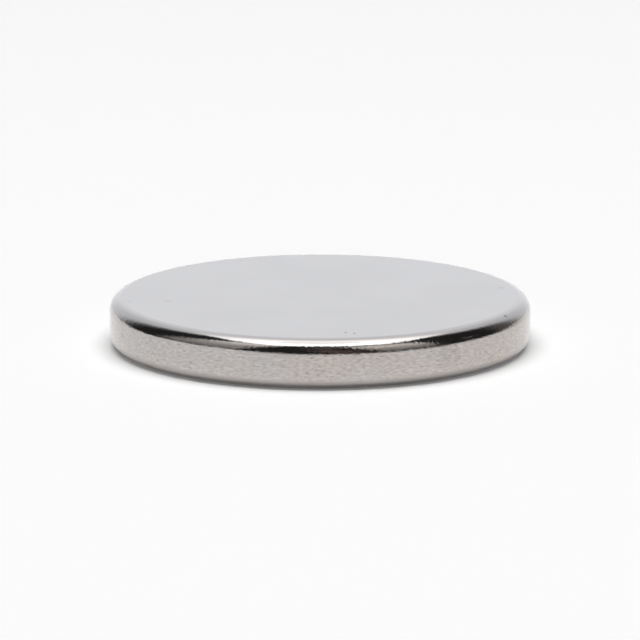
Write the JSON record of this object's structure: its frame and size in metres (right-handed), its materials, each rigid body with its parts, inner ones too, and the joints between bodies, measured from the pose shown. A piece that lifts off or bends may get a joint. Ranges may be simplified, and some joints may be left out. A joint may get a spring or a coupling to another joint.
{
  "type": "disc magnet",
  "caption": "Flat round permanent magnet with plain faces, a straight side wall, rounded rims and a bright nickel-plated finish.",
  "frame": {"origin": "centre of the lower flat face, on the surface that the magnet lies on", "axes": "+Z through the thickness, along the disc's axis and its direction of magnetisation; X and Y lie in the lower face"},
  "size_m": [0.025, 0.025, 0.003],
  "materials": {
    "nickel_plate": "bright nickel plating, mirror-like on the rounded rims, faintly rippled and pitted on the side wall"
  },
  "bodies": {
    "root": {"disc_magnet": "nickel_plate"}
  },
  "joints": []
}
